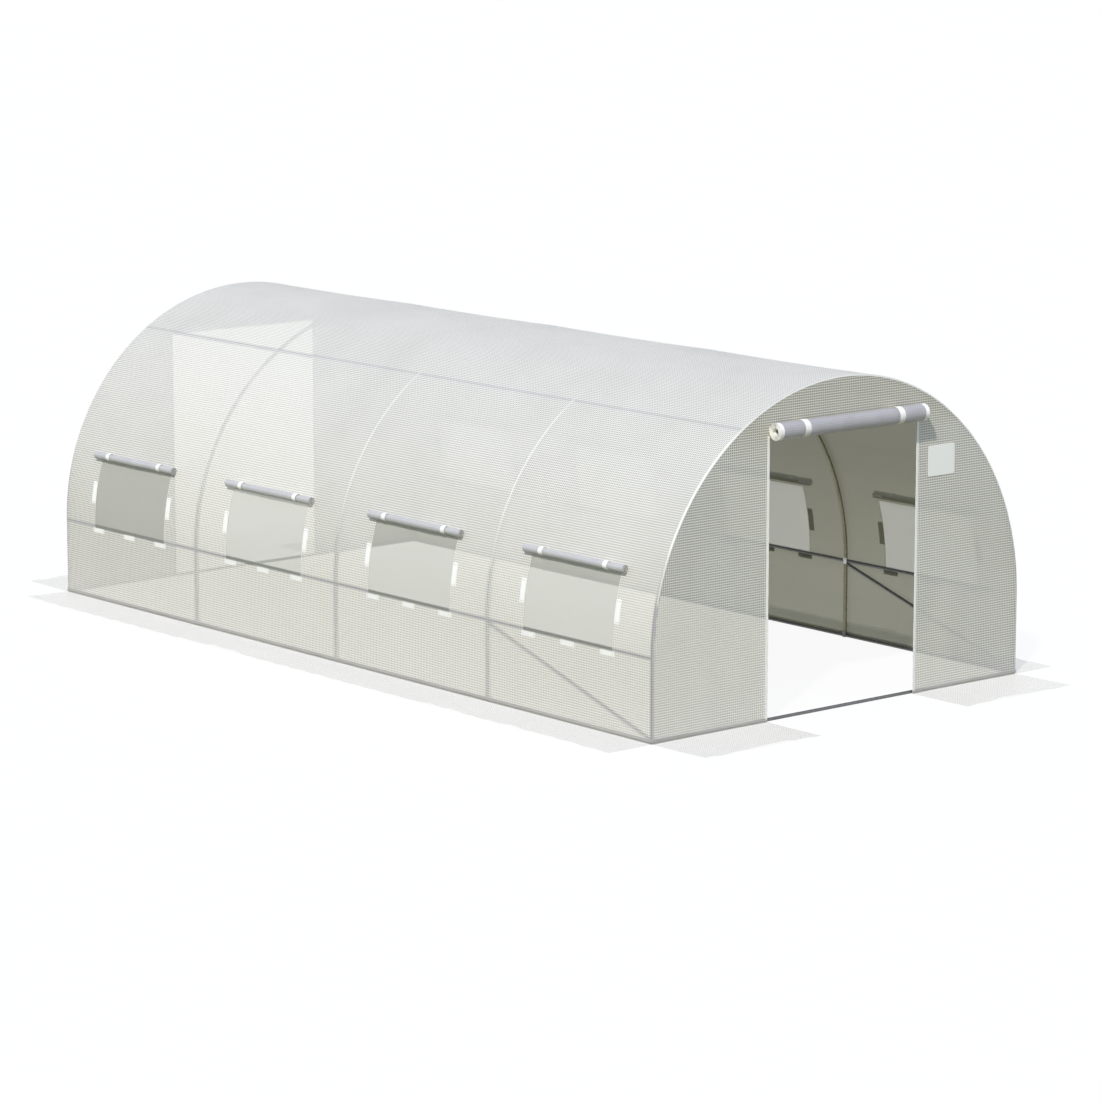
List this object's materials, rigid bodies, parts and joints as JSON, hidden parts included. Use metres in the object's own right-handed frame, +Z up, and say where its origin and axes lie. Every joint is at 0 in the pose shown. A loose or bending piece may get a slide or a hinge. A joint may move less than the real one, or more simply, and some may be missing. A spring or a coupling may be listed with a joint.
{
  "type": "polytunnel greenhouse",
  "caption": "Walk-in garden tunnel: arched steel tube hoops with rails and braces under a reinforced foil cover, rolled-up end doors and netted side windows with rolled flaps.",
  "frame": {"origin": "middle of the tunnel's footprint, at ground level", "axes": "+X across the tunnel to the right, +Y along it towards the rear end, +Z up"},
  "size_m": [3.65, 6.92, 2],
  "materials": {
    "frame_tube": "galvanised steel tube, satin",
    "clip": "zinc plated pressed steel",
    "cover": "see-through reinforced foil with a fine square grid",
    "apron": "see-through reinforced foil laid on the ground",
    "window_net": "fine grey insect net",
    "rolled_sheet": "reinforced foil rolled up",
    "tape": "white woven tape"
  },
  "bodies": {
    "root": {"hoop_1": "frame_tube", "hoop_2": "frame_tube", "hoop_3": "frame_tube", "hoop_4": "frame_tube", "hoop_5": "frame_tube", "left_base_rail": "frame_tube", "right_base_rail": "frame_tube", "front_base_rail": "frame_tube", "rear_base_rail": "frame_tube", "left_mid_rail": "frame_tube", "right_mid_rail": "frame_tube", "left_purlin": "frame_tube", "right_purlin": "frame_tube", "front_braces": "frame_tube", "base_clips": "clip", "mid_rail_clips": "clip", "purlin_clips": "clip", "left_lower_cover": "cover", "left_window_cover": "cover", "left_shoulder_cover": "cover", "left_haunch_cover": "cover", "left_crown_cover": "cover", "right_lower_cover": "cover", "right_window_cover": "cover", "right_shoulder_cover": "cover", "right_haunch_cover": "cover", "right_crown_cover": "cover", "front_left_panel": "cover", "front_right_panel": "cover", "front_top_panel": "cover", "rear_left_panel": "cover", "rear_right_panel": "cover", "rear_top_panel": "cover", "left_apron": "apron", "right_apron": "apron", "front_aprons": "apron", "rear_aprons": "apron", "left_window_nets": "window_net", "right_window_nets": "window_net", "left_window_rolls": "rolled_sheet", "right_window_rolls": "rolled_sheet", "window_straps": "tape", "left_hook_tapes": "tape", "right_hook_tapes": "tape", "front_door_roll": "rolled_sheet", "rear_door_roll": "rolled_sheet", "door_straps": "tape", "door_zips": "tape"}
  },
  "joints": []
}
